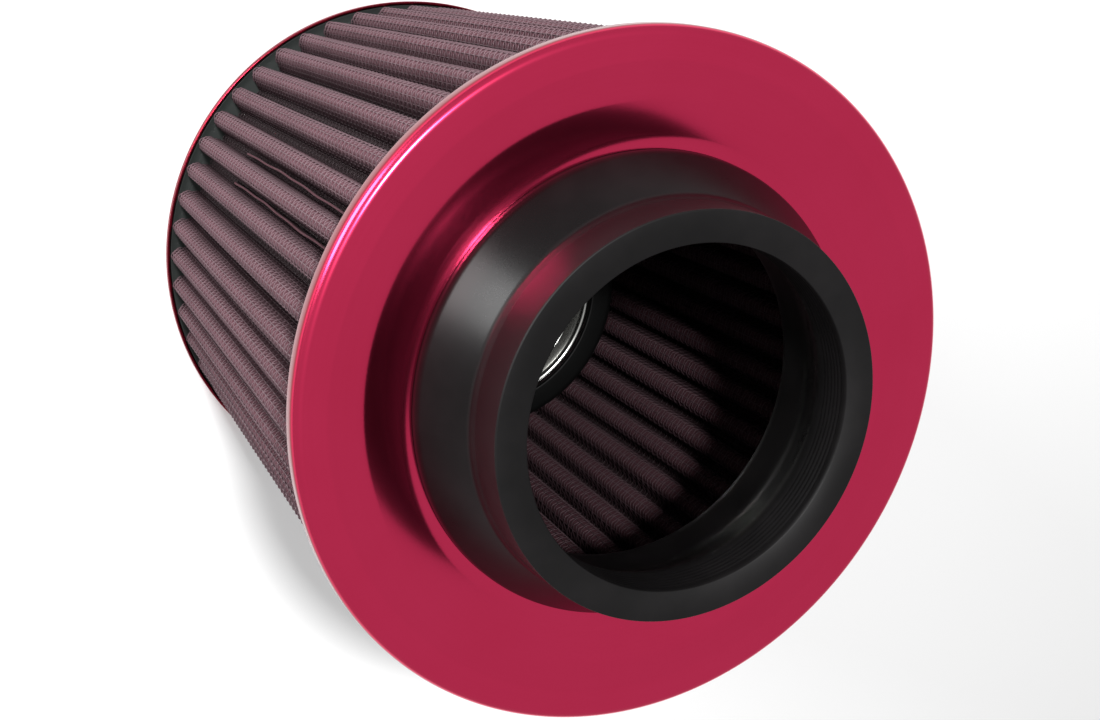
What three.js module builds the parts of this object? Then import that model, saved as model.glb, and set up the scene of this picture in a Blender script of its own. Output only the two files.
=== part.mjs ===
import * as THREE from 'three';

// Air filter: a pleated outer wall between a red front ring with a rubber neck and a red rear channel,
// with a second, inverted pleated cone that rises from the rear and ends in a polished dish.
// Millimetres. The axis is +Z towards the neck, and the rear face lies at z = 0.

// Driving dimensions
const BORE_RADIUS = 38;            // 76 mm intake bore
const NECK_RADIUS = 45;            // outside of the straight neck
const FLANGE_RADIUS = 79.5;          // outside of the front trim ring
const FACE_HEIGHT = 152;           // flat front face of the trim ring
const MOUTH_HEIGHT = 174.4;        // flat mouth of the neck
const HOLE_RADIUS = 53.2;          // opening of the trim ring round the neck
const DISH_DEPTH = 2.8;            // how far the trim ring dips towards the neck
const SKIRT = 4.7;                 // height of the trim ring's rolled skirt
const REAR_RADIUS = 72.8;          // outside of the rear channel
const SHEET = 0.8;                 // aluminium sheet
const GAP = 0.3;                   // clearance between neighbouring pieces

// Outer pleats
const PLEATS = 53;
const PLEAT_PHASE = 142.8;         // direction of one outer fold, degrees
const PLEAT_BOTTOM = 2.7;
const PLEAT_TOP = 148.4;
const OUTER_FOLD = [70.8, 76.5];   // mid-sheet radius of the outer folds, rear and front
const INNER_FOLD = [65.4, 69.9];   // mid-sheet radius of the inner folds, rear and front
const CREST = 0.17;                // half width of an outer fold, as a share of the pleat
const FLOOR = 0.29;                // where the wide, flat inner fold begins

// Folded lap edges of the media
const SEAM_BOTTOM = 38;
const SEAM_TOP = 147.8;
const SEAM_HEIGHT = 3;
const SEAM_THICKNESS = 0.5;
const SEAM_CLEARANCE = 1.4;        // from the inner folds' mid-sheet to the foot of the seam

// Inverted rear cone
const CONE_PLEATS = 32;
const CONE_BOTTOM = 2.7;
const CONE_TOP = 60.2;
const CONE_OUTER_FOLD = [53.2, 35.2];
const CONE_INNER_FOLD = [47, 29.8];
const CROWN_RADIUS = 36.5;         // black ring at the top of the cone
const CROWN_HEIGHT = 66.5;
const DISH_RADIUS = 29.3;          // outside of the dish's rolled bead

// Media stack, as offsets from mid-sheet
const GAUZE_HALF = 0.3;
const SCREEN = 0.3;

const RING_STEPS = 44;              // sides of every turned piece

const red = { color: 0xb02c4c, roughness: 0.32, metalness: 0.85 };
const rubber = { color: 0x232223, roughness: 0.55, metalness: 0 };
const potting = { color: 0x2c302e, roughness: 0.6, metalness: 0 };
const wire = { color: 0x8a7a7d, roughness: 0.45, metalness: 0.7 };
const cotton = { color: 0x6a2d3b, roughness: 0.95, metalness: 0 };
const polished = { color: 0xe8e8e6, roughness: 0.08, metalness: 1 };

const filter = new THREE.Group();

function addPiece(name, geometry, look) {
  const mesh = new THREE.Mesh(geometry, new THREE.MeshStandardMaterial(look));
  mesh.name = name;
  filter.add(mesh);
}

// Points of an arc in the radius-height plane, both ends included.
function arc(centre, radius, fromDegrees, toDegrees, steps) {
  const points = [];
  for (let i = 0; i <= steps; i += 1) {
    const angle = THREE.MathUtils.degToRad(THREE.MathUtils.lerp(fromDegrees, toDegrees, i / steps));
    points.push([centre[0] + radius * Math.cos(angle), centre[1] + radius * Math.sin(angle)]);
  }
  return points;
}

// A ring (or disc) turned about +Z from its outline of [radius, height] points, anticlockwise.
function turned(outline, closed = true) {
  const points = outline.map(([r, z]) => new THREE.Vector2(r, z));
  if (closed) points.push(points[0].clone());
  return new THREE.LatheGeometry(points, RING_STEPS).rotateX(Math.PI / 2);
}

function point(radius, degrees) {
  const angle = THREE.MathUtils.degToRad(degrees);
  return new THREE.Vector2(radius * Math.cos(angle), radius * Math.sin(angle));
}

// Mid-sheet line of a pleated wall at one height: a three-point outer fold and a two-point inner fold.
function pleatLine(count, phase, outerRadius, innerRadius) {
  const pitch = 360 / count;
  const line = [];
  for (let i = 0; i < count; i += 1) {
    const fold = phase + i * pitch;
    line.push(point(outerRadius - 0.5, fold - CREST * pitch));
    line.push(point(outerRadius, fold));
    line.push(point(outerRadius - 0.5, fold + CREST * pitch));
    line.push(point(innerRadius, fold + FLOOR * pitch));
    line.push(point(innerRadius, fold + (1 - FLOOR) * pitch));
  }
  return line;
}

// The same closed line moved sideways by a distance, outwards when positive.
function offsetLine(line, distance) {
  const side = (from, to) => {
    const along = to.clone().sub(from).normalize();
    return new THREE.Vector2(along.y, -along.x);
  };
  return line.map((here, i) => {
    const before = side(line.at(i - 1), here);
    const after = side(here, line[(i + 1) % line.length]);
    const miter = before.clone().add(after).multiplyScalar(distance / (1 + before.dot(after)));
    return here.clone().add(miter);
  });
}

// A closed sheet between two offsets of a pleated wall that runs straight from one height to another.
function pleatedSheet(wall, innerOffset, outerOffset) {
  const rings = [[0, innerOffset], [0, outerOffset], [1, outerOffset], [1, innerOffset]].map(([end, offset]) => {
    const line = pleatLine(wall.count, wall.phase, wall.outer[end], wall.inner[end]);
    return offsetLine(line, offset).map((p) => [p.x, p.y, wall.heights[end]]);
  });
  const size = rings[0].length;
  const index = [];
  for (let ring = 0; ring < 4; ring += 1) {
    const next = (ring + 1) % 4;
    for (let i = 0; i < size; i += 1) {
      const j = (i + 1) % size;
      const [a, b, c, d] = [ring * size + i, ring * size + j, next * size + j, next * size + i];
      index.push(a, b, c, a, c, d);
    }
  }
  const geometry = new THREE.BufferGeometry();
  geometry.setAttribute('position', new THREE.Float32BufferAttribute(rings.flat(2), 3));
  geometry.setIndex(index);
  geometry.computeVertexNormals();
  return geometry;
}

// The three layers of a pleated wall: cotton between two wire screens.
function addMedia(prefix, wall) {
  const near = GAUZE_HALF + GAP;
  addPiece(`${prefix}outer_screen`, pleatedSheet(wall, near, near + SCREEN), wire);
  addPiece(wall.gauzeName, pleatedSheet(wall, -GAUZE_HALF, GAUZE_HALF), cotton);
  addPiece(`${prefix}inner_screen`, pleatedSheet(wall, -near - SCREEN, -near), wire);
}

// Rolled rim and skirt outside, then a flat face, and a slope down to a small lip round the neck.
function frontTrimRing() {
  const rim = 2.2;
  const dish = FACE_HEIGHT - DISH_DEPTH;
  const upper = [
    [HOLE_RADIUS, dish + 0.3], [54.9, dish], [55.7, dish + 0.1], [64.6, FACE_HEIGHT - 0.3], [65.8, FACE_HEIGHT],
  ];
  const lower = [
    [HOLE_RADIUS, dish + 0.3 - SHEET], [54.8, dish - SHEET], [55.9, dish + 0.12 - SHEET],
    [64.8, FACE_HEIGHT - 0.3 - SHEET], [65.9, FACE_HEIGHT - SHEET],
  ];
  const corner = [FLANGE_RADIUS - rim, FACE_HEIGHT - rim];
  const skirtEnd = FACE_HEIGHT - SKIRT;
  return turned([
    ...lower,
    ...arc(corner, rim - SHEET, 90, 0, 3),
    [FLANGE_RADIUS - SHEET, skirtEnd],
    [FLANGE_RADIUS, skirtEnd],
    ...arc(corner, rim, 0, 90, 4),
    ...upper.toReversed(),
  ]);
}

// One rubber moulding: a straight neck, a conical shoulder, and a flange whose bell opens into the filter.
function neckBoot() {
  const flangeTop = PLEAT_TOP - 0.6;
  const flangeRadius = 64;
  const bellEnd = 142;
  const shoulder = HOLE_RADIUS - 0.4;
  const bevel = 0.6;
  return turned([
    [BORE_RADIUS, MOUTH_HEIGHT],
    [BORE_RADIUS + 0.1, 165], [38.7, 158], [40, 150], [41.2, 145],
    [42, bellEnd + 0.5], [43.2, bellEnd],
    [flangeRadius, bellEnd + 2.6],
    [flangeRadius, flangeTop],
    [shoulder, flangeTop],
    [shoulder, FACE_HEIGHT - 0.4], [52.3, FACE_HEIGHT + 1.2],
    [46.3, 161.8], [45.3, 163.2], [NECK_RADIUS, 164.8],
    [NECK_RADIUS, MOUTH_HEIGHT - bevel],
    [NECK_RADIUS - bevel, MOUTH_HEIGHT],
  ]);
}

// Cast compound between the pleats' front ends and the trim ring.
function frontPotting() {
  const bottom = PLEAT_TOP + GAP;
  const top = FACE_HEIGHT - SHEET - GAP;
  const inside = 61.4;
  const outside = FLANGE_RADIUS - SHEET - GAP - 0.3;
  return turned([
    [inside, bottom], [outside, bottom], [outside, top - 0.6], [outside - 0.6, top],
    [66.2, top], [64.9, top - 0.3], [inside, bottom + 0.7],
  ]);
}

// Channel of sheet with rolled edges that carries both pleated walls.
function rearCap() {
  const round = 1;
  const outside = REAR_RADIUS;
  const inside = 45.4;
  return turned([
    [inside + round, 0], [outside - round, 0],
    ...arc([outside - round, round], round, -60, 0, 2),
    [outside, 2.9], [outside - SHEET, 2.9], [outside - SHEET, SHEET],
    [inside + SHEET, SHEET], [inside + SHEET, 2.2], [inside, 2.2],
    ...arc([inside + round, round], round, 180, 240, 2),
  ]);
}

// Cast compound that fills the rear channel.
function rearPotting() {
  const bottom = SHEET + GAP;
  const top = PLEAT_BOTTOM - GAP;
  const inside = 46.6;
  const outside = REAR_RADIUS - SHEET - GAP;
  return turned([[inside, bottom], [outside, bottom], [outside, top], [inside, top]]);
}

// Moulded ring that closes the cone and holds the dish.
function coneCrown() {
  const bottom = CONE_TOP + GAP;
  const inside = DISH_RADIUS + GAP;
  return turned([
    [inside - 1.4, bottom], [CROWN_RADIUS, bottom], [CROWN_RADIUS, CROWN_HEIGHT - 1.6],
    [CROWN_RADIUS - 0.6, CROWN_HEIGHT - 0.5], [CROWN_RADIUS - 1.8, CROWN_HEIGHT],
    [inside, CROWN_HEIGHT], [inside, bottom + 2], [inside - 1.4, bottom + 1.2],
  ]);
}

// A shallow dish with a rolled bead: the outline runs from the axis out to the bead and back.
function domeDish() {
  const bead = 0.9;
  const beadCentre = [DISH_RADIUS - bead, CROWN_HEIGHT + 0.1];
  const floor = CROWN_HEIGHT - 3.6;
  return turned([
    [0, floor + 1.1], [12, floor + 0.8], [21, floor + 0.1], [25.4, floor - SHEET], [26.8, floor],
    ...arc(beadCentre, bead, -60, 200, 6),
    [26, floor + 0.8], [25, floor + 0.2], [21, floor + 0.9], [12, floor + 1.6], [0, floor + 1.9],
  ], false);
}

// Folded lap edge of the media: a thin blade that stands in an outer valley.
function seamStrip(degrees) {
  const footAt = (z) => {
    const along = (z - PLEAT_BOTTOM) / (PLEAT_TOP - PLEAT_BOTTOM);
    return THREE.MathUtils.lerp(INNER_FOLD[0], INNER_FOLD[1], along) + SEAM_CLEARANCE;
  };
  const length = SEAM_TOP - SEAM_BOTTOM;
  const lean = Math.atan2(footAt(SEAM_TOP) - footAt(SEAM_BOTTOM), length);
  const middleRadius = (footAt(SEAM_BOTTOM) + footAt(SEAM_TOP) + SEAM_HEIGHT) / 2;
  const blade = new THREE.BoxGeometry(SEAM_HEIGHT, SEAM_THICKNESS, length);
  blade.rotateY(lean);
  blade.translate(middleRadius, 0, (SEAM_BOTTOM + SEAM_TOP) / 2);
  return blade.rotateZ(THREE.MathUtils.degToRad(degrees));
}

const outerWall = {
  count: PLEATS, phase: PLEAT_PHASE, outer: OUTER_FOLD, inner: INNER_FOLD,
  heights: [PLEAT_BOTTOM, PLEAT_TOP - GAP], gauzeName: 'outer_gauze',
};
const coneWall = {
  count: CONE_PLEATS, phase: 0, outer: CONE_OUTER_FOLD, inner: CONE_INNER_FOLD,
  heights: [CONE_BOTTOM, CONE_TOP], gauzeName: 'cone_gauze',
};

addPiece('front_trim_ring', frontTrimRing(), red);
addPiece('neck_boot', neckBoot(), rubber);
addPiece('front_potting', frontPotting(), potting);
addMedia('', outerWall);
addPiece('seam_strip_a', seamStrip(PLEAT_PHASE + 180 / PLEATS), cotton);
addPiece('seam_strip_b', seamStrip(PLEAT_PHASE + 540 / PLEATS), cotton);
addPiece('rear_cap', rearCap(), red);
addPiece('rear_potting', rearPotting(), potting);
addMedia('cone_', coneWall);
addPiece('cone_crown', coneCrown(), rubber);
addPiece('dome_dish', domeDish(), polished);

export default filter;
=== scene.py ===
import math

import bpy
import numpy as np
from mathutils import Matrix, Vector


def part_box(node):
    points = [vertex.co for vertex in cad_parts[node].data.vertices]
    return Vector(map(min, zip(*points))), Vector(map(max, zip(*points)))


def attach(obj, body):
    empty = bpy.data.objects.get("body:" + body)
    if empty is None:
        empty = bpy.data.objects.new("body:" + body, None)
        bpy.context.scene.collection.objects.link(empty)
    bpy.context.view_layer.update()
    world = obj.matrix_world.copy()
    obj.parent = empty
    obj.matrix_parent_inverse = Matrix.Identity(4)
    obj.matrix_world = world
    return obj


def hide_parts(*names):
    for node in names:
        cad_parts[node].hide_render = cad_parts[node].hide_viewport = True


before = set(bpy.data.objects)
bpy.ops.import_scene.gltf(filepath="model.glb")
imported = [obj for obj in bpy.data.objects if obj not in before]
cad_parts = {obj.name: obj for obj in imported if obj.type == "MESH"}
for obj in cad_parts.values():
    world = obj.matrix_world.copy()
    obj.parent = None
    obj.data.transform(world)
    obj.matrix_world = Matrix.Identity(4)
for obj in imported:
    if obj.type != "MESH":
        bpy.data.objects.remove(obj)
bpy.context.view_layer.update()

MM = 0.001
TURN_STEPS = 224  # faces round a turned piece
ON_AXIS = 1e-7  # radii below this are a single point on the axis
HALF_GAUZE = 0.3 * MM  # half the cotton's thickness
WIRE_PITCH = 1.42 * MM  # spacing of the screens' wires
WIRE_RADIUS = 0.15 * MM
WIRE_SIDES = 3  # faces round a wire
WARP_POINTS = 7  # a warp is nearly straight, so a few points carry it
WIRE_CRIMP = 1.55 * WIRE_RADIUS  # how far the weft weaves to either side
WIRE_STANDOFF = 1.9 * WIRE_RADIUS  # cotton to warp; the weft's low points press into the cotton
SWAY = 0.28 * MM  # how far a typical pleat stands to one side of its true place
SWELL = 0.16 * MM  # and how far out or in
INNER_UNSHADED_SHARE = 0.66  # painted shade: the inner side, inside the filter, reaches only this share of the outer ridges' light colour
FOLD_SHADE_FALL = 1.5  # how sharply the painted shade deepens into a fold, on both sides


# Sizes from the frame


def rim_radii(node, at_top):
    """The smallest and largest radius of a node's lowest or highest ring of points."""
    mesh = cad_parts[node].data
    points = np.array([v.co for v in mesh.vertices])
    heights = points[:, 2]
    edge = heights.max() if at_top else heights.min()
    level = 0.2 * MM
    radii = np.hypot(*points[np.abs(heights - edge) < level, :2].T)
    return radii.min(), radii.max()


def hole_of(node):
    """A round node's smallest radius."""
    return min(v.co.xy.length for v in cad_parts[node].data.vertices)


def top_of(node):
    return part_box(node)[1][2]


def foot_of(node):
    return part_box(node)[0][2]


def reach_of(node):
    """A round node's outer radius."""
    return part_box(node)[1][0]


FACE = top_of("front_trim_ring")
RING_RADIUS = reach_of("front_trim_ring")
SKIRT_FOOT = foot_of("front_trim_ring")
MOUTH = top_of("neck_boot")
MOUTH_BEVEL = 0.6 * MM  # taken off the frame's neck round its mouth
BORE_RADIUS, BEVEL_RADIUS = rim_radii("neck_boot", at_top=True)
NECK_RADIUS = BEVEL_RADIUS + MOUTH_BEVEL
HOLE_RADIUS = hole_of("front_trim_ring")
DISH_DEPTH = 2.8 * MM  # how far the trim ring dips towards the neck
CLAMP_LAND = 11.4 * MM  # height of the neck's straight side


# Node trees as expressions


class Signal:
    """An output socket that takes part in ordinary arithmetic."""

    def __init__(self, board, socket):
        self.board = board
        self.socket = socket

    def _math(self, operation, *operands):
        node = self.board.add("ShaderNodeMath", {"operation": operation}, dict(enumerate(operands)))
        return node.out()

    def __add__(self, other):
        return self._math("ADD", self, other)

    def __radd__(self, other):
        return self._math("ADD", other, self)

    def __sub__(self, other):
        return self._math("SUBTRACT", self, other)

    def __rsub__(self, other):
        return self._math("SUBTRACT", other, self)

    def __mul__(self, other):
        return self._math("MULTIPLY", self, other)

    def root(self):
        return self._math("SQRT", self)

    def sine(self):
        return self._math("SINE", self)

    def turn_of(self, across):
        """The angle whose tangent is this signal over the other."""
        return self._math("ARCTAN2", self, across)

    def above(self, level, soft):
        """0 below the level, 1 above it, over a soft band."""
        settings = {"interpolation_type": "SMOOTHSTEP"}
        inputs = {"Value": self, "From Min": level - soft, "From Max": level + soft}
        return self.board.add("ShaderNodeMapRange", settings, inputs).out("Result")


class Made:
    """A node, with its outputs as signals."""

    def __init__(self, board, node):
        self.board = board
        self.node = node

    def out(self, name=0):
        return Signal(self.board, self.node.outputs[name])


class Board:
    """Adds and links the nodes of one tree."""

    def __init__(self, tree):
        self.tree = tree

    def add(self, kind, settings=None, inputs=None):
        node = self.tree.nodes.new(kind)
        for name, value in (settings or {}).items():
            setattr(node, name, value)
        for name, value in (inputs or {}).items():
            self.feed(node.inputs[name], value)
        return Made(self, node)

    def feed(self, socket, value):
        if isinstance(value, Signal):
            self.tree.links.new(value.socket, socket)
        elif isinstance(value, (tuple, list)) and len(socket.default_value) == 4:
            socket.default_value = (*value, 1.0)[:4]
        else:
            socket.default_value = value

    def mix(self, amount, first, second):
        """Blends two colours."""
        node = self.tree.nodes.new("ShaderNodeMix")
        node.data_type = "RGBA"
        self.feed(node.inputs[0], amount)
        self.feed(node.inputs[6], first)
        self.feed(node.inputs[7], second)
        return Signal(self, node.outputs[2])

    def split(self, vector):
        parts = self.add("ShaderNodeSeparateXYZ", inputs={0: vector})
        return parts.out("X"), parts.out("Y"), parts.out("Z")

    def join(self, x, y, z):
        return self.add("ShaderNodeCombineXYZ", inputs={"X": x, "Y": y, "Z": z}).out()

    def noise(self, vector, scale, detail=2.0, roughness=0.5):
        inputs = {"Vector": vector, "Scale": scale, "Detail": detail, "Roughness": roughness}
        return self.add("ShaderNodeTexNoise", inputs=inputs).out(0)

    def bump(self, height, distance, strength=1.0):
        inputs = {"Height": height, "Distance": distance, "Strength": strength}
        return self.add("ShaderNodeBump", inputs=inputs).out()


class Finish(Board):
    """A material with one Principled shader."""

    def __init__(self, name, **constants):
        self.material = bpy.data.materials.new(name)
        self.material.use_nodes = True
        super().__init__(self.material.node_tree)
        self.shader = self.tree.nodes["Principled BSDF"]
        for socket, value in constants.items():
            self.feed(self.shader.inputs[socket.replace("_", " ")], value)

    def place(self):
        return self.add("ShaderNodeTexCoord").out("Object")

    def round_place(self):
        """Radius, angle and height of the shaded point, about the filter's axis."""
        x, y, z = self.split(self.place())
        return (x * x + y * y).root(), y.turn_of(x), z

    def unshaded_share(self):
        """Painted shade on the pleated media: 1 on an outer ridge, 0 deep in a fold, where it is darkest.
        """
        return self.add("ShaderNodeAttribute", {"attribute_name": "open"}).out("Fac")

    def drive(self, **links):
        for socket, value in links.items():
            self.feed(self.shader.inputs[socket.replace("_", " ")], value)
        return self.material


# Finishes


def anodised_red():
    """Dyed aluminium under a clear oxide layer. It was spun, so its finest lines run round the axis.
    Its upright edges carry painted shade: a darker red that stands in for the dark they reflect."""
    finish = Finish("red_anodised", Metallic=1.0, Coat_Weight=0.2, Coat_Roughness=0.24, Coat_IOR=1.5)
    radius, angle, height = finish.round_place()
    fine = 5200.0
    lathe = finish.join(radius * fine, angle * 2.0, height * fine)
    lines = finish.noise(lathe, 1.0, detail=3.0)
    cloud = finish.noise(finish.place(), 38.0, detail=4.0)
    grain = finish.noise(finish.place(), 2400.0, detail=1.0)
    tone = cloud * 0.6 + lines * 0.25 + grain * 0.15
    deep_red = (0.90, 0.033, 0.120)
    bright_red = (1.0, 0.052, 0.170)
    # painted shade: a dark red for the rims' upright sides, standing in for the dark they reflect
    painted_shade_red = (0.24, 0.006, 0.022)
    face = finish.mix(tone, deep_red, bright_red)
    outer = radius.above(reach_of("rear_cap") - 0.7 * MM, 0.3 * MM)
    # painted shade mask: the upright sides below the front face; the same outer band is also a little
    # rougher
    edge = outer * (1 - height.above(FACE - 1.2 * MM, 0.6 * MM))
    colour = finish.mix(edge, face, painted_shade_red)
    rough = 0.12 + lines * 0.04 + cloud * 0.04 + outer * 0.06
    normal = finish.bump(lines * 0.5 + grain * 0.5, 0.004 * MM, 0.35)
    return finish.drive(Base_Color=colour, Roughness=rough, Normal=normal)


def neck_rubber():
    """Moulded rubber: near black, with a faint bloom. The straight neck is the more matt."""
    finish = Finish("neck_rubber", IOR=1.33)
    place = finish.place()
    bloom = finish.noise(place, 46.0, detail=6.0, roughness=0.62)
    grain = finish.noise(place, 3100.0, detail=2.0)
    flow = finish.noise(place, 9.0, detail=2.0)
    height = finish.round_place()[2]
    matt = height.above(MOUTH - CLAMP_LAND, 0.6 * MM)
    bare = (0.0028, 0.0024, 0.0026)
    bloomed = (0.0066, 0.0056, 0.0060)
    colour = finish.mix(bloom.above(0.55, 0.22), bare, bloomed)
    rough = 0.21 + bloom * 0.12 + grain * 0.05 + matt * 0.22
    relief = grain * 0.03 + bloom * 0.22 + flow
    normal = finish.bump(relief, 0.12 * MM, 0.5)
    return finish.drive(Base_Color=colour, Roughness=rough, Normal=normal)


def potting_compound():
    """Cast polyurethane: dark grey green, levelled while it was liquid."""
    finish = Finish("potting", IOR=1.5)
    place = finish.place()
    cloud = finish.noise(place, 60.0, detail=4.0)
    pores = finish.noise(place, 900.0, detail=1.0).above(0.68, 0.05)
    dark_grey = (0.008, 0.011, 0.010)
    light_grey = (0.018, 0.023, 0.021)
    colour = finish.mix(cloud, dark_grey, light_grey)
    rough = 0.42 + cloud * 0.2
    normal = finish.bump(cloud - pores * 0.3, 0.15 * MM, 0.5)
    return finish.drive(Base_Color=colour, Roughness=rough, Normal=normal)


def crown_rubber():
    """The crown ring's dull black rubber."""
    finish = Finish("crown_rubber", IOR=1.28)
    place = finish.place()
    cloud = finish.noise(place, 70.0, detail=4.0)
    grain = finish.noise(place, 2600.0, detail=1.0)
    black = (0.0008, 0.0009, 0.0009)
    charcoal = (0.0018, 0.0019, 0.0019)
    colour = finish.mix(cloud, black, charcoal)
    rough = 0.46 + cloud * 0.16
    normal = finish.bump(grain * 0.1 + cloud, 0.1 * MM, 0.4)
    return finish.drive(Base_Color=colour, Roughness=rough, Normal=normal)


def oiled_cotton():
    """Cotton gauze dyed by filter oil, with painted shade: darker deep in the folds and lighter on the
    ridges.
    """
    finish = Finish("oiled_gauze", IOR=1.4)
    place = finish.place()
    soak = finish.noise(place, 30.0, detail=5.0, roughness=0.6)
    lint = finish.noise(place, 1500.0, detail=3.0)
    angle, height = finish.round_place()[1:]
    weave = (height * 9000.0).sine() * 0.5 + (angle * 640.0).sine() * 0.5
    tone = finish.unshaded_share() * (0.62 + soak * 0.4 + lint * 0.2 + weave * 0.06)
    # painted shade: the dark colour deep in the folds, the light one on the outer ridges; the soak and lint
    # noise are random oil blotches and fibre
    shaded_cotton = (0.016, 0.005, 0.007)
    lit_cotton = (0.126, 0.043, 0.058)
    colour = finish.mix(tone, shaded_cotton, lit_cotton)
    normal = finish.bump(weave * 0.4 + lint, 0.12 * MM, 0.6)
    return finish.drive(Base_Color=colour, Roughness=0.70 + soak * 0.25, Normal=normal)


def screen_wire():
    """Coated aluminium wire, oily and dusty at random, with painted shade: dark deep in the folds and
    greyer on the ridges.
    """
    finish = Finish("wire_mesh", Metallic=0.3, IOR=1.5)
    oil = finish.noise(finish.place(), 55.0, detail=4.0)
    dust = finish.noise(finish.place(), 700.0, detail=2.0)
    tone = finish.unshaded_share() * (0.55 + oil * 0.6 + dust * 0.3)
    # painted shade: the dark colour deep in the folds, the grey one on the outer ridges
    shaded_wire = (0.020, 0.008, 0.011)
    lit_wire = (0.172, 0.102, 0.119)
    colour = finish.mix(tone, shaded_wire, lit_wire)
    return finish.drive(Base_Color=colour, Roughness=0.42 + oil * 0.2)


def polished_metal():
    """Polished sheet, with a little haze and faint lines round the axis."""
    finish = Finish("polished_dish", Metallic=1.0)
    radius, angle, height = finish.round_place()
    haze = finish.noise(finish.place(), 90.0, detail=4.0)
    fine = 6000.0
    lines = finish.noise(finish.join(radius * fine, angle * 1.5, height * fine), 1.0)
    steel = (0.52, 0.52, 0.50)
    bright_steel = (0.64, 0.64, 0.62)
    colour = finish.mix(haze, steel, bright_steel)
    rough = 0.15 + haze * 0.06 + lines * 0.02
    return finish.drive(Base_Color=colour, Roughness=rough)


# Meshes


def make_piece(name, points, faces, material, smooth=True):
    mesh = bpy.data.meshes.new(name)
    mesh.from_pydata(points, [], faces)
    mesh.materials.append(material)
    if smooth:
        mesh.shade_smooth()
    piece = bpy.data.objects.new(name, mesh)
    bpy.context.scene.collection.objects.link(piece)
    return piece


def store(mesh, name, values):
    """Keeps one number for each point of a mesh."""
    attribute = mesh.attributes.new(name, "FLOAT", "POINT")
    attribute.data.foreach_set("value", values.astype(np.float32).ravel())


def arc(centre, radius, start, stop, steps):
    """Points of an arc in the radius-height plane, angles in degrees."""
    angles = np.radians(np.linspace(start, stop, steps + 1))
    return [(centre[0] + radius * math.cos(a), centre[1] + radius * math.sin(a)) for a in angles]


def rounded(corners, steps=5):
    """An outline from (radius, height, round-off) corners, each rounded with a quadratic curve."""
    outline = []
    count = len(corners)
    for i, (x, z, ease) in enumerate(corners):
        here = Vector((x, z))
        if ease == 0:
            outline.append((x, z))
            continue
        before = (Vector(corners[i - 1][:2]) - here).normalized() * ease
        after = (Vector(corners[(i + 1) % count][:2]) - here).normalized() * ease
        for step in range(steps + 1):
            t = step / steps
            outline.append(tuple(here + before * (1 - t) ** 2 + after * t**2))
    return outline


def turned(name, outline, material, closed=True, crease=40.0):
    """A piece turned about the axis from an anticlockwise outline of (radius, height) points."""
    steps = TURN_STEPS
    angles = np.linspace(0, 2 * math.pi, steps, endpoint=False)
    points, starts = [], []
    for radius, height in outline:
        starts.append(len(points))
        if radius < ON_AXIS:
            points.append((0.0, 0.0, height))
        else:
            points += [(radius * math.cos(a), radius * math.sin(a), height) for a in angles]
    faces = []
    pairs = len(outline) if closed else len(outline) - 1
    for i in range(pairs):
        j = (i + 1) % len(outline)
        low, high = starts[i], starts[j]
        for k in range(steps):
            n = (k + 1) % steps
            if outline[i][0] < ON_AXIS:
                faces.append((low, high + n, high + k))
            elif outline[j][0] < ON_AXIS:
                faces.append((low + k, low + n, high))
            else:
                faces.append((low + k, low + n, high + n, high + k))
    piece = make_piece(name, points, faces, material)
    piece.data.set_sharp_from_angle(angle=math.radians(crease))
    return piece


# Turned pieces


def front_trim_ring():
    """Spun sheet: a rolled rim, a flat face, and a straight slope down to a small lip round the neck."""
    sheet = 0.8 * MM
    rim = 2.2 * MM
    slope_width = 9.9 * MM
    lip_width = 2.1 * MM
    slope_end = HOLE_RADIUS + lip_width
    upper_bend = 1.5 * MM
    lower_bend = 1.1 * MM
    dish = FACE - DISH_DEPTH
    face_side = [
        (RING_RADIUS - rim, FACE, 0),
        (slope_end + slope_width, FACE, upper_bend),
        (slope_end, dish, lower_bend),
        (HOLE_RADIUS, dish, 0),
    ]
    upper = rounded(face_side, steps=8)
    lower = [(radius, height - sheet) for radius, height in upper[::-1]]
    corner = (RING_RADIUS - rim, FACE - rim)
    hem = sheet / 2
    skirt = arc((RING_RADIUS - hem, SKIRT_FOOT + hem), hem, 180, 360, 6)
    inside = arc(corner, rim - sheet, 90, 0, 8)[1:]
    outside = arc(corner, rim, 0, 90, 16)
    return turned("trim_ring", lower + inside + skirt + outside + upper[1:], red)


def grooved_bore(flare, foot):
    """The bore's line from the mouth down: fine grooves, then a wall that eases out to the bell."""
    edge = 0.2 * MM
    groove_pitch = 1.25 * MM
    grooves = 6
    groove = 0.13 * MM
    ease_length = 13 * MM
    wall_steps = 16
    line = [(BORE_RADIUS + edge, MOUTH), (BORE_RADIUS, MOUTH - edge)]
    first = MOUTH - 2.0 * MM
    for i in range(grooves):
        z = first - i * groove_pitch
        line += [
            (BORE_RADIUS, z),
            (BORE_RADIUS + groove, z - 0.25 * groove_pitch),
            (BORE_RADIUS + groove, z - 0.4 * groove_pitch),
            (BORE_RADIUS, z - 0.65 * groove_pitch),
        ]
    throat = first - grooves * groove_pitch
    for step in range(1, wall_steps + 1):
        z = throat + (foot - throat) * step / wall_steps
        t = min(1, (throat - z) / ease_length)
        line.append((BORE_RADIUS + flare * t * t * (3 - 2 * t), z))
    return line


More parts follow.
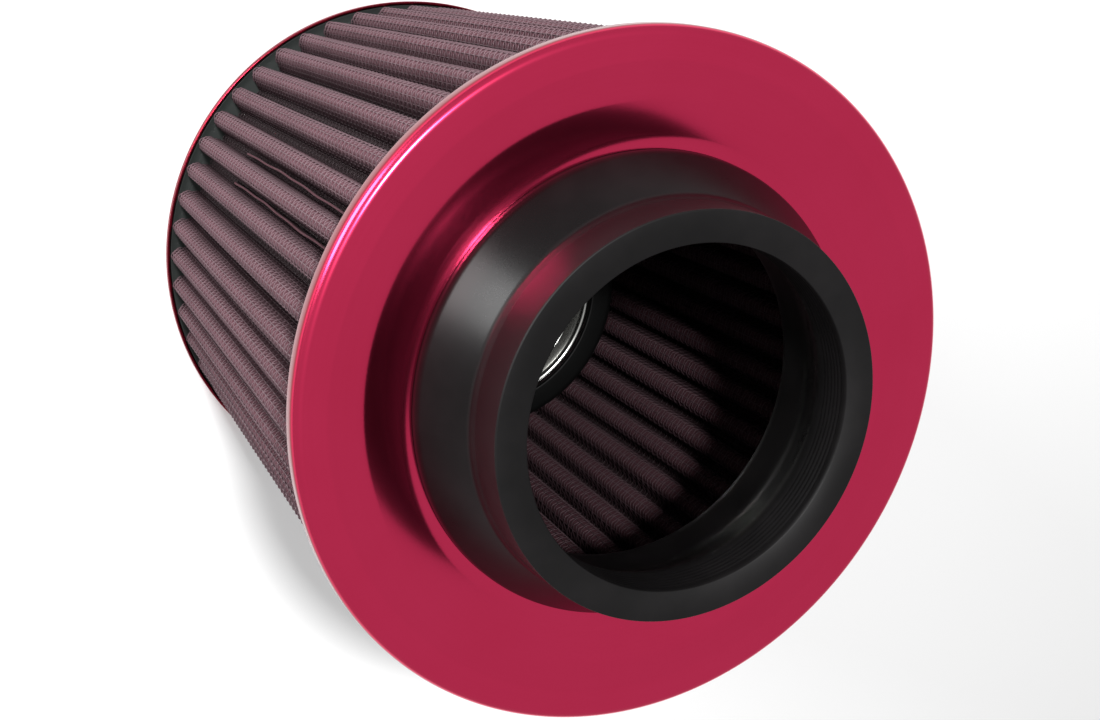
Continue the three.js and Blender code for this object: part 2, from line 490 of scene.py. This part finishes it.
def neck_boot():
    """One rubber moulding: neck, conical shoulder, and the bell that opens into the filter."""
    shoulder = HOLE_RADIUS - 0.08 * MM
    foot = foot_of("neck_boot")
    flange_top = top_of("outer_screen") - 0.3 * MM
    flange = reach_of("neck_boot")
    corner = 1.0 * MM
    flare = 4.0 * MM
    bore = grooved_bore(flare, foot + 1.2 * MM)
    under = rounded(
        [
            (bore[-1][0], bore[-1][1], 0),
            (BORE_RADIUS + flare + 0.4 * MM, foot, corner),
            (flange, foot + 2.6 * MM, corner),
            (flange, flange_top, 0.5 * MM),
            (shoulder, flange_top, 0),
        ]
    )
    cone_top = MOUTH - CLAMP_LAND
    outside = rounded(
        [
            (shoulder, flange_top + 0.1 * MM, 0),
            (shoulder, FACE - 0.6 * MM, 1.2 * MM),
            (NECK_RADIUS + 0.7 * MM, cone_top - 0.7 * MM, 0.8 * MM),
            (NECK_RADIUS + 0.1 * MM, cone_top + 1.4 * MM, 0.5 * MM),
            (NECK_RADIUS, MOUTH, 0.4 * MM),
            (bore[0][0], MOUTH, 0),
        ],
        steps=8,
    )
    outline = bore + under[1:] + outside[1:-1]
    return turned("neck_boot_skin", outline, rubber, crease=50)


def front_potting():
    """Cast ring that ties the pleats' front ends to the trim ring."""
    low, high = foot_of("front_potting"), top_of("front_potting")
    inner, outer = rim_radii("front_potting", at_top=False)
    top_inset = 4.8 * MM
    corners = [
        (inner, low, 0),
        (outer, low, 0.3 * MM),
        (outer, high, 0.8 * MM),
        (inner + top_inset, high, 0.8 * MM),
        (inner, low + 0.7 * MM, 0.2 * MM),
    ]
    return turned("front_seal", rounded(corners), potting)


def rear_cap():
    """Spun channel with a rolled rim outside and a turned-up lip round the cone's mouth."""
    sheet = 0.8 * MM
    round_off = 1.1 * MM
    outer = reach_of("rear_cap")
    inner = rim_radii("rear_cap", at_top=False)[0] - 1.0 * MM
    rim_top = top_of("rear_cap")
    lip_top = rim_top - 0.7 * MM
    hem = 0.36 * MM
    inside_bend = 0.5 * MM
    below_bead = outer - 0.1 * MM
    corners = [
        (inner, 0, round_off),
        (below_bead, 0, round_off),
        (below_bead, rim_top * 0.52, 0.35 * MM),
        (outer - 0.45 * MM, rim_top * 0.60, 0.3 * MM),
        (outer, rim_top * 0.72, 0.35 * MM),
        (outer, rim_top, hem),
        (outer - sheet, rim_top, hem),
        (outer - sheet, sheet, inside_bend),
        (inner + sheet, sheet, inside_bend),
        (inner + sheet, lip_top, hem),
        (inner, lip_top, hem),
    ]
    return turned("rear_channel", rounded(corners), red)


def rear_potting():
    """Cast ring that holds both walls' rear ends in the cap. It creeps up a little where it meets metal."""
    low, high = foot_of("rear_potting"), top_of("rear_potting")
    inner, outer = rim_radii("rear_potting", at_top=False)
    corners = [
        (inner, low, 0.2 * MM),
        (outer, low, 0.2 * MM),
        (outer, high + 0.25 * MM, 0.1 * MM),
        (outer - 1.4 * MM, high, 1 * MM),
        (inner + 2 * MM, high, 1 * MM),
        (inner, high + 0.2 * MM, 0.1 * MM),
    ]
    return turned("rear_seal", rounded(corners), potting)


def cone_crown():
    """Rubber ring round the dish, on the cone's front end, with a thin ledge inside its foot."""
    low, high = foot_of("cone_crown"), top_of("cone_crown")
    outer = reach_of("cone_crown")
    inner = rim_radii("cone_crown", at_top=True)[0]
    ledge = inner - 1.4 * MM
    corners = [
        (ledge, low, 0.3 * MM),
        (outer, low, 0.4 * MM),
        (outer, high - 0.3 * MM, 2.0 * MM),
        (inner + 0.1 * MM, high, 0.5 * MM),
        (inner, low + 2 * MM, 0.1 * MM),
        (ledge, low + 1.2 * MM, 0.3 * MM),
    ]
    return turned("crown_ring", rounded(corners), crown)


def dome_dish():
    """Pressed dish: a rolled bead, a short wall and a floor that swells in the middle."""
    sheet = 0.7 * MM
    bead = 1.3 * MM
    outer = reach_of("dome_dish")
    floor = foot_of("dome_dish") + 0.1 * MM
    bead_z = top_of("dome_dish") - bead
    swell = 1.9 * MM
    wall = outer - 2.6 * MM

    def floor_line(lift):
        radii = np.linspace(0, wall - 2.2 * MM, 15)
        return [(r, floor + lift + swell * (0.5 + 0.5 * math.cos(math.pi * r / wall))) for r in radii]

    below = floor_line(0) + [
        (wall - 0.9 * MM, floor - 0.1 * MM),
        (wall, floor + 0.5 * MM),
        (wall + 0.1 * MM, floor + 1.2 * MM),
    ]
    roll = arc((outer - bead, bead_z), bead, -110, 195, 16)
    above = [
        (wall - 0.6 * MM, floor + 1.9 * MM),
        (wall - 0.9 * MM, floor + sheet + 0.35 * MM),
        (wall - 1.5 * MM, floor + sheet),
    ]
    outline = below + roll + above + floor_line(sheet)[::-1]
    return turned("dish", outline, polished, closed=False, crease=35)


# Pleated media


class Wall:
    """A pleated wall's mid-sheet, from its rear line to its front line, bowed a little between them."""

    def __init__(self, node, count, phase, seed):
        self.count = count
        self.phase = math.radians(phase)
        self.low, self.high = foot_of(node), top_of(node)
        self.rear = self.fold_radii(node, at_top=False)
        self.front = self.fold_radii(node, at_top=True)
        self.random = np.random.default_rng(seed)
        self.sway = self.random.normal(0, 1, (3, count))
        self.swell = self.random.normal(0, 1, (3, count))

    def fold_radii(self, node, at_top):
        """Radii of the mid-sheet's ridges and floors at one end."""
        inner, outer = rim_radii(node, at_top)
        return [outer - HALF_GAUZE, inner + HALF_GAUZE]

    def fold(self, outer, inner, steps):
        """One pleat as evenly spaced (angle, radius) points: a narrow round ridge, a wide flat floor."""
        middle = (outer + inner) / 2
        pitch = 2 * math.pi * middle / self.count
        ridge = 0.19 * pitch
        floor_start = 0.27 * pitch
        corner = 0.11 * pitch
        turn = np.radians(np.linspace(90, 0, 24))
        crest = np.stack([ridge * np.cos(turn), outer - ridge + ridge * np.sin(turn)], 1)
        foot = np.stack([floor_start + corner * (1 - np.sin(turn)), inner + corner * (1 - np.cos(turn))], 1)
        half = np.concatenate([crest, foot, [(pitch / 2, inner)]])
        mirrored = half[::-1] * [-1, 1] + [pitch, 0]
        path = np.concatenate([half, mirrored[1:]])
        along = np.concatenate([[0], np.cumsum(np.linalg.norm(np.diff(path, axis=0), axis=1))])
        even = np.linspace(0, along[-1], steps, endpoint=False)
        x = np.interp(even, along, path[:, 0])
        return x / middle, np.interp(even, along, path[:, 1])

    def line(self, outer, inner, steps, sway, swell):
        """The whole closed line round the wall, with each pleat a little out of true."""
        angle, radius = self.fold(outer, inner, steps)
        pitch = 2 * math.pi / self.count
        starts = self.phase + pitch * np.arange(self.count)
        ripple = self.spread(sway, steps) * SWAY / outer
        puff = self.spread(swell, steps) * SWELL
        angles = (starts[:, None] + angle[None, :]).ravel() + ripple
        radii = np.tile(radius, self.count) + puff
        return np.stack([radii * np.cos(angles), radii * np.sin(angles)], 1)

    def spread(self, values, steps):
        """One value for each pleat, drawn out smoothly over all the columns."""
        place = np.arange(self.count * steps) / steps
        return np.interp(place, np.arange(self.count + 1), np.append(values, values[0]))

    def unshaded_share(self, side, steps):
        """How much painted light each column keeps on one side: all on the outer ridges, less deep in each
        fold, and only a share on the inner side.
        """
        radius = self.fold(*self.rear, steps)[1]
        share = (radius - self.rear[1]) / (self.rear[0] - self.rear[1])
        lit_part = share if side > 0 else INNER_UNSHADED_SHARE * (1 - share)
        return np.tile(lit_part**FOLD_SHADE_FALL, self.count)

    def grid(self, steps, rows):
        """Points and outward normals, rows by columns. The columns run all the way round."""
        still = np.zeros(self.count)
        held = 0.5  # the potting holds the ends truer than the middle
        lines = [
            self.line(*self.rear, steps, self.sway[0] * held, still),
            self.line(*self.middle_radii(), steps, self.sway[1], self.swell[1]),
            self.line(*self.front, steps, self.sway[2] * held, still),
        ]
        points = np.empty((rows, self.count * steps, 3))
        for row, t in enumerate(np.linspace(0, 1, rows)):
            a, b, c = (1 - t) * (1 - 2 * t), 4 * t * (1 - t), t * (2 * t - 1)
            points[row, :, :2] = a * lines[0] + b * lines[1] + c * lines[2]
            points[row, :, 2] = self.low + (self.high - self.low) * t
        across = np.roll(points, -1, axis=1) - np.roll(points, 1, axis=1)
        upward = np.gradient(points, axis=0)
        normals = np.cross(across, upward)
        return points, normals / np.linalg.norm(normals, axis=2, keepdims=True)

    def middle_radii(self):
        return [(rear + front) / 2 for rear, front in zip(self.rear, self.front)]


def gauze_sheet(name, wall, material, steps=18, rows=22):
    """The cotton as one closed sheet, and its flat size."""
    points, normals = wall.grid(steps, rows)
    columns = points.shape[1]
    outer_side = (points + normals * HALF_GAUZE).reshape(-1, 3)
    inner_side = (points - normals * HALF_GAUZE).reshape(-1, 3)
    sides = np.concatenate([outer_side, inner_side])
    back = rows * columns
    faces = []
    for r in range(rows - 1):
        for c in range(columns):
            n = (c + 1) % columns
            a = r * columns + c
            b = r * columns + n
            faces.append((a, b, b + columns, a + columns))
            faces.append((back + a, back + a + columns, back + b + columns, back + b))
    last = (rows - 1) * columns
    for c in range(columns):
        n = (c + 1) % columns
        faces.append((c, back + c, back + n, n))
        faces.append((last + c, last + n, back + last + n, back + last + c))
    sheet = make_piece(name, [tuple(p) for p in sides], faces, material)
    # painted shade for each column, darker deep in the folds
    unshaded_share = [np.tile(wall.unshaded_share(side, steps), rows) for side in (1, -1)]
    store(sheet.data, "open", np.concatenate(unshaded_share))
    middle = points[rows // 2]
    length = float(np.linalg.norm(middle - np.roll(middle, 1, axis=0), axis=1).sum())
    return sheet, (wall.high - wall.low, length)


def screen_tree():
    """Turns a grid's marked edges into wires: a crimped weft over straight warps."""
    tree = bpy.data.node_groups.new("woven_screen", "GeometryNodeTree")
    for name, kind in (
        ("Grid", "NodeSocketGeometry"),
        ("Wire Radius", "NodeSocketFloat"),
        ("Crimp", "NodeSocketFloat"),
        ("Material", "NodeSocketMaterial"),
    ):
        tree.interface.new_socket(name, in_out="INPUT", socket_type=kind)
    tree.interface.new_socket("Screen", in_out="OUTPUT", socket_type="NodeSocketGeometry")
    board = Board(tree)
    given = board.add("NodeGroupInput")
    circle = {"Resolution": WIRE_SIDES, "Radius": given.out("Wire Radius")}
    profile = board.add("GeometryNodeCurvePrimitiveCircle", {"mode": "RADIUS"}, circle)

    def attribute(name, kind):
        return board.add("GeometryNodeInputNamedAttribute", {"data_type": kind}, {"Name": name}).out()

    def wires(grid, chosen, count=0):
        line = board.add("GeometryNodeMeshToCurve", inputs={"Mesh": grid, "Selection": chosen}).out()
        if count:
            line = board.add("GeometryNodeResampleCurve", inputs={"Curve": line, "Count": count}).out()
        inputs = {"Curve": line, "Profile Curve": profile.out(), "Fill Caps": True}
        return board.add("GeometryNodeCurveToMesh", inputs=inputs).out()

    outward = attribute("outward", "FLOAT_VECTOR")
    crimp = attribute("weave", "FLOAT") * given.out("Crimp")
    lift = board.add("ShaderNodeVectorMath", {"operation": "SCALE"}, {0: outward, "Scale": crimp})
    moved = {"Geometry": given.out("Grid"), "Offset": lift.out()}
    crimped = board.add("GeometryNodeSetPosition", inputs=moved)
    weft = wires(crimped.out(), attribute("weft", "BOOLEAN"))
    warp = wires(given.out("Grid"), attribute("warp", "BOOLEAN"), count=WARP_POINTS)
    both = board.add("GeometryNodeJoinGeometry")
    for part in (weft, warp):
        tree.links.new(part.socket, both.node.inputs[0])
    real = board.add("GeometryNodeRealizeInstances", inputs={0: both.out()})
    smooth = board.add("GeometryNodeSetShadeSmooth", inputs={"Geometry": real.out()})
    finished = {"Geometry": smooth.out(), "Material": given.out("Material")}
    done = board.add("GeometryNodeSetMaterial", inputs=finished)
    tree.links.new(done.out().socket, tree.nodes.new("NodeGroupOutput").inputs[0])
    return tree


def grown(piece, tree, **inputs):
    """Replaces a piece's mesh by what a node tree makes of it."""
    modifier = piece.modifiers.new("grow", "NODES")
    modifier.node_group = tree
    names = {s.name: s.identifier for s in tree.interface.items_tree if s.in_out == "INPUT"}
    for name, value in inputs.items():
        modifier[names[name.replace("_", " ")]] = value
    graph = bpy.context.evaluated_depsgraph_get()
    mesh = bpy.data.meshes.new_from_object(piece.evaluated_get(graph))
    piece.modifiers.clear()
    piece.data = mesh
    return piece


def woven_screen(name, wall, side, tree, steps, sectors):
    """The wire screen on one side of a wall's gauze, in sectors of whole pleats."""
    rows = 2 * round((wall.high - wall.low) / WIRE_PITCH / 2) + 1
    points, normals = wall.grid(steps, rows)
    normals = normals * side
    points = points + normals * (HALF_GAUZE + WIRE_STANDOFF)
    columns = points.shape[1]
    # painted shade for each column, darker deep in the folds
    unshaded_share = wall.unshaded_share(side, steps)
    cuts = np.linspace(0, wall.count, sectors + 1).round().astype(int) * steps
    pieces = []
    for number, (start, stop) in enumerate(zip(cuts[:-1], cuts[1:]), 1):
        chosen = np.arange(start, stop + 1)
        width = len(chosen)
        part = points[:, chosen % columns].reshape(-1, 3)
        mesh = bpy.data.meshes.new(f"{name}_{number}")
        index = np.arange(rows * width).reshape(rows, width)
        weft = np.stack([index[:, :-1].ravel(), index[:, 1:].ravel()], 1)
        warp_columns = np.flatnonzero((chosen % 2 == 0) & (chosen < stop))
        warp = np.stack([index[:-1, warp_columns].ravel(), index[1:, warp_columns].ravel()], 1)
        mesh.from_pydata(part.tolist(), np.concatenate([weft, warp]).tolist(), [])
        store(mesh, "open", np.tile(unshaded_share[chosen % columns], rows))
        outward = mesh.attributes.new("outward", "FLOAT_VECTOR", "POINT")
        outward.data.foreach_set("vector", normals[:, chosen % columns].astype(np.float32).ravel())
        over = np.where(chosen % 4 == 0, 1.0, np.where(chosen % 4 == 2, -1.0, 0.0))
        weave = over[None, :] * np.where(np.arange(rows) % 2 == 0, 1.0, -1.0)[:, None]
        store(mesh, "weave", weave)
        for label, low, high in (("weft", 0, len(weft)), ("warp", len(weft), len(weft) + len(warp))):
            flags = np.zeros(len(mesh.edges), bool)
            flags[low:high] = True
            mesh.attributes.new(label, "BOOLEAN", "EDGE").data.foreach_set("value", flags)
        piece = bpy.data.objects.new(f"{name}_{number}", mesh)
        bpy.context.scene.collection.objects.link(piece)
        grown(piece, tree, Wire_Radius=WIRE_RADIUS, Crimp=WIRE_CRIMP, Material=wire)
        pieces.append(piece)
    return pieces


def seam_fold(name, wall, valley, start, width):
    """A folded lap edge that stands in an outer valley: a thin hairpin, a little wavy."""
    rows = 40
    thick = 0.26 * MM
    clear_of_floor = 1.05 * MM
    clear_of_end = 0.3 * MM
    pitch = 2 * math.pi / wall.count
    angle = wall.phase + (valley + 0.5) * pitch
    outward = np.array([math.cos(angle), math.sin(angle), 0])
    across = np.array([-math.sin(angle), math.cos(angle), 0])
    hairpin = [(0, -thick, 0), (width, -thick, thick), (width, thick, thick), (0, thick, 0)]
    section = rounded(hairpin, steps=3)
    points = []
    faces = []
    size = len(section)
    for row in range(rows):
        t = row / (rows - 1)
        z = start + (wall.high - clear_of_end - start) * t
        share = (z - wall.low) / (wall.high - wall.low)
        foot = wall.rear[1] + (wall.front[1] - wall.rear[1]) * share + clear_of_floor
        sway = 0.22 * MM * math.sin(9 * t + valley) + 0.1 * MM * math.sin(31 * t)
        tall = 1 - 0.85 * max(0, 1 - 12 * t) ** 2
        for depth, side in section:
            at = outward * (foot + depth * tall) + across * (side + sway * depth / width)
            points.append((at[0], at[1], z))
    for row in range(rows - 1):
        for i in range(size):
            j = (i + 1) % size
            faces.append((row * size + i, row * size + j, (row + 1) * size + j, (row + 1) * size + i))
    faces.append(tuple(reversed(range(size))))
    faces.append(tuple(range((rows - 1) * size, rows * size)))
    fold = make_piece(name, points, faces, cotton)
    # painted shade: the fold stands in a valley, so it gets a middling share
    store(fold.data, "open", np.full(len(points), 0.5))
    return fold


# The studio


def pale_floor():
    half = 3.0
    level = -0.2 * MM
    corners = [(x * half, y * half, level) for x, y in ((-1, -1), (1, -1), (1, 1), (-1, 1))]
    paint = Finish("pale_floor", Roughness=0.8)
    tone = paint.noise(paint.place(), 3.0, detail=2.0)
    pale = (0.93, 0.93, 0.93)
    paler = (0.96, 0.96, 0.96)
    paint.drive(Base_Color=paint.mix(tone, pale, paler))
    make_piece("floor", corners, [(0, 1, 2, 3)], paint.material, smooth=False)


def view_turn():
    """Rotation from the camera's axes (right, up, back) to the filter's own."""
    toward = Vector((0.4842, -0.3126, 1.0)).normalized()  # the filter's axis, as the camera sees it
    side = Vector((0, 1, 0)).cross(toward).normalized()
    return Matrix((side, toward.cross(side), toward))


def set_camera():
    ring = Vector((20.6, -6.85, -352.3)) * MM  # the front ring's centre, from the camera
    data = bpy.data.cameras.new("camera")
    data.sensor_width = 36.0
    data.lens = 52.36
    data.clip_start = 10 * MM
    camera = bpy.data.objects.new("camera", data)
    turn = view_turn()
    camera.matrix_world = Matrix.Translation(Vector((0, 0, FACE)) - turn @ ring) @ turn.to_4x4()
    bpy.context.scene.collection.objects.link(camera)
    bpy.context.scene.camera = camera


def softbox(name, direction, distance, size, power):
    """A square area light, placed by its direction in the camera's axes."""
    data = bpy.data.lights.new(name, "AREA")
    data.shape = "SQUARE"
    data.size = size
    data.energy = power
    light = bpy.data.objects.new(name, data)
    centre = Vector((0, 0, FACE * 0.6))
    toward = (view_turn() @ Vector(direction)).normalized()
    light.location = centre + toward * distance
    light.rotation_euler = toward.to_track_quat("Z", "Y").to_euler()
    bpy.context.scene.collection.objects.link(light)


def set_studio():
    """Even white surroundings, a large soft light from the left and a small one beside the camera."""
    world = bpy.data.worlds.new("studio")
    world.use_nodes = True
    background = world.node_tree.nodes["Background"]
    background.inputs["Color"].default_value = (1, 1, 1, 1)
    background.inputs["Strength"].default_value = 0.42
    bpy.context.scene.world = world
    bpy.context.scene.view_settings.view_transform = "Standard"
    pale_floor()
    softbox("key", (-0.60, 0.34, 0.72), distance=0.9, size=0.36, power=6.0)
    softbox("flash", (0.20, 0.05, 1.0), distance=1.15, size=0.10, power=12)


# Assembly


def settle(piece, slot, *nodes):
    """Fixes a piece to the filter's one body and hides the nodes it stands for. Its finish slot is not
    used.
    """
    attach(piece, "root")
    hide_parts(*nodes)


def settle_media(wall, prefix, gauze_node, screens):
    """One wall's cotton, then each of its screens as (node, side, where, steps across a pleat, sectors)."""
    sheet, flat = gauze_sheet(f"{prefix}_gauze", wall, cotton)
    settle(sheet, "oiled_gauze", gauze_node)
    for node, side, where, steps, sectors in screens:
        for piece in woven_screen(f"{prefix}_{where}_screen", wall, side, weaver, steps, sectors):
            settle(piece, "wire_mesh", node)


red = anodised_red()
rubber = neck_rubber()
crown = crown_rubber()
potting = potting_compound()
cotton = oiled_cotton()
wire = screen_wire()
polished = polished_metal()

settle(front_trim_ring(), "red_anodised", "front_trim_ring")
settle(neck_boot(), "neck_rubber", "neck_boot")
settle(front_potting(), "potting", "front_potting")
settle(rear_cap(), "red_anodised", "rear_cap")
settle(rear_potting(), "potting", "rear_potting")
settle(cone_crown(), "potting", "cone_crown")
settle(dome_dish(), "polished_dish", "dome_dish")

weaver = screen_tree()
body = Wall("outer_gauze", count=53, phase=142.8, seed=7)
cone = Wall("cone_gauze", count=32, phase=0, seed=11)

body_screens = [("outer_screen", 1, "outer", 24, 5), ("inner_screen", -1, "inner", 12, 3)]
cone_screens = [("cone_outer_screen", 1, "outer", 12, 1), ("cone_inner_screen", -1, "inner", 12, 1)]
settle_media(body, "body", "outer_gauze", body_screens)
settle_media(cone, "rear_cone", "cone_gauze", cone_screens)
fold_a = seam_fold("seam_fold_a", body, valley=1, start=38 * MM, width=3.2 * MM)
settle(fold_a, "oiled_gauze", "seam_strip_a")
fold_b = seam_fold("seam_fold_b", body, valley=2, start=38 * MM, width=2.6 * MM)
settle(fold_b, "oiled_gauze", "seam_strip_b")

set_camera()
set_studio()
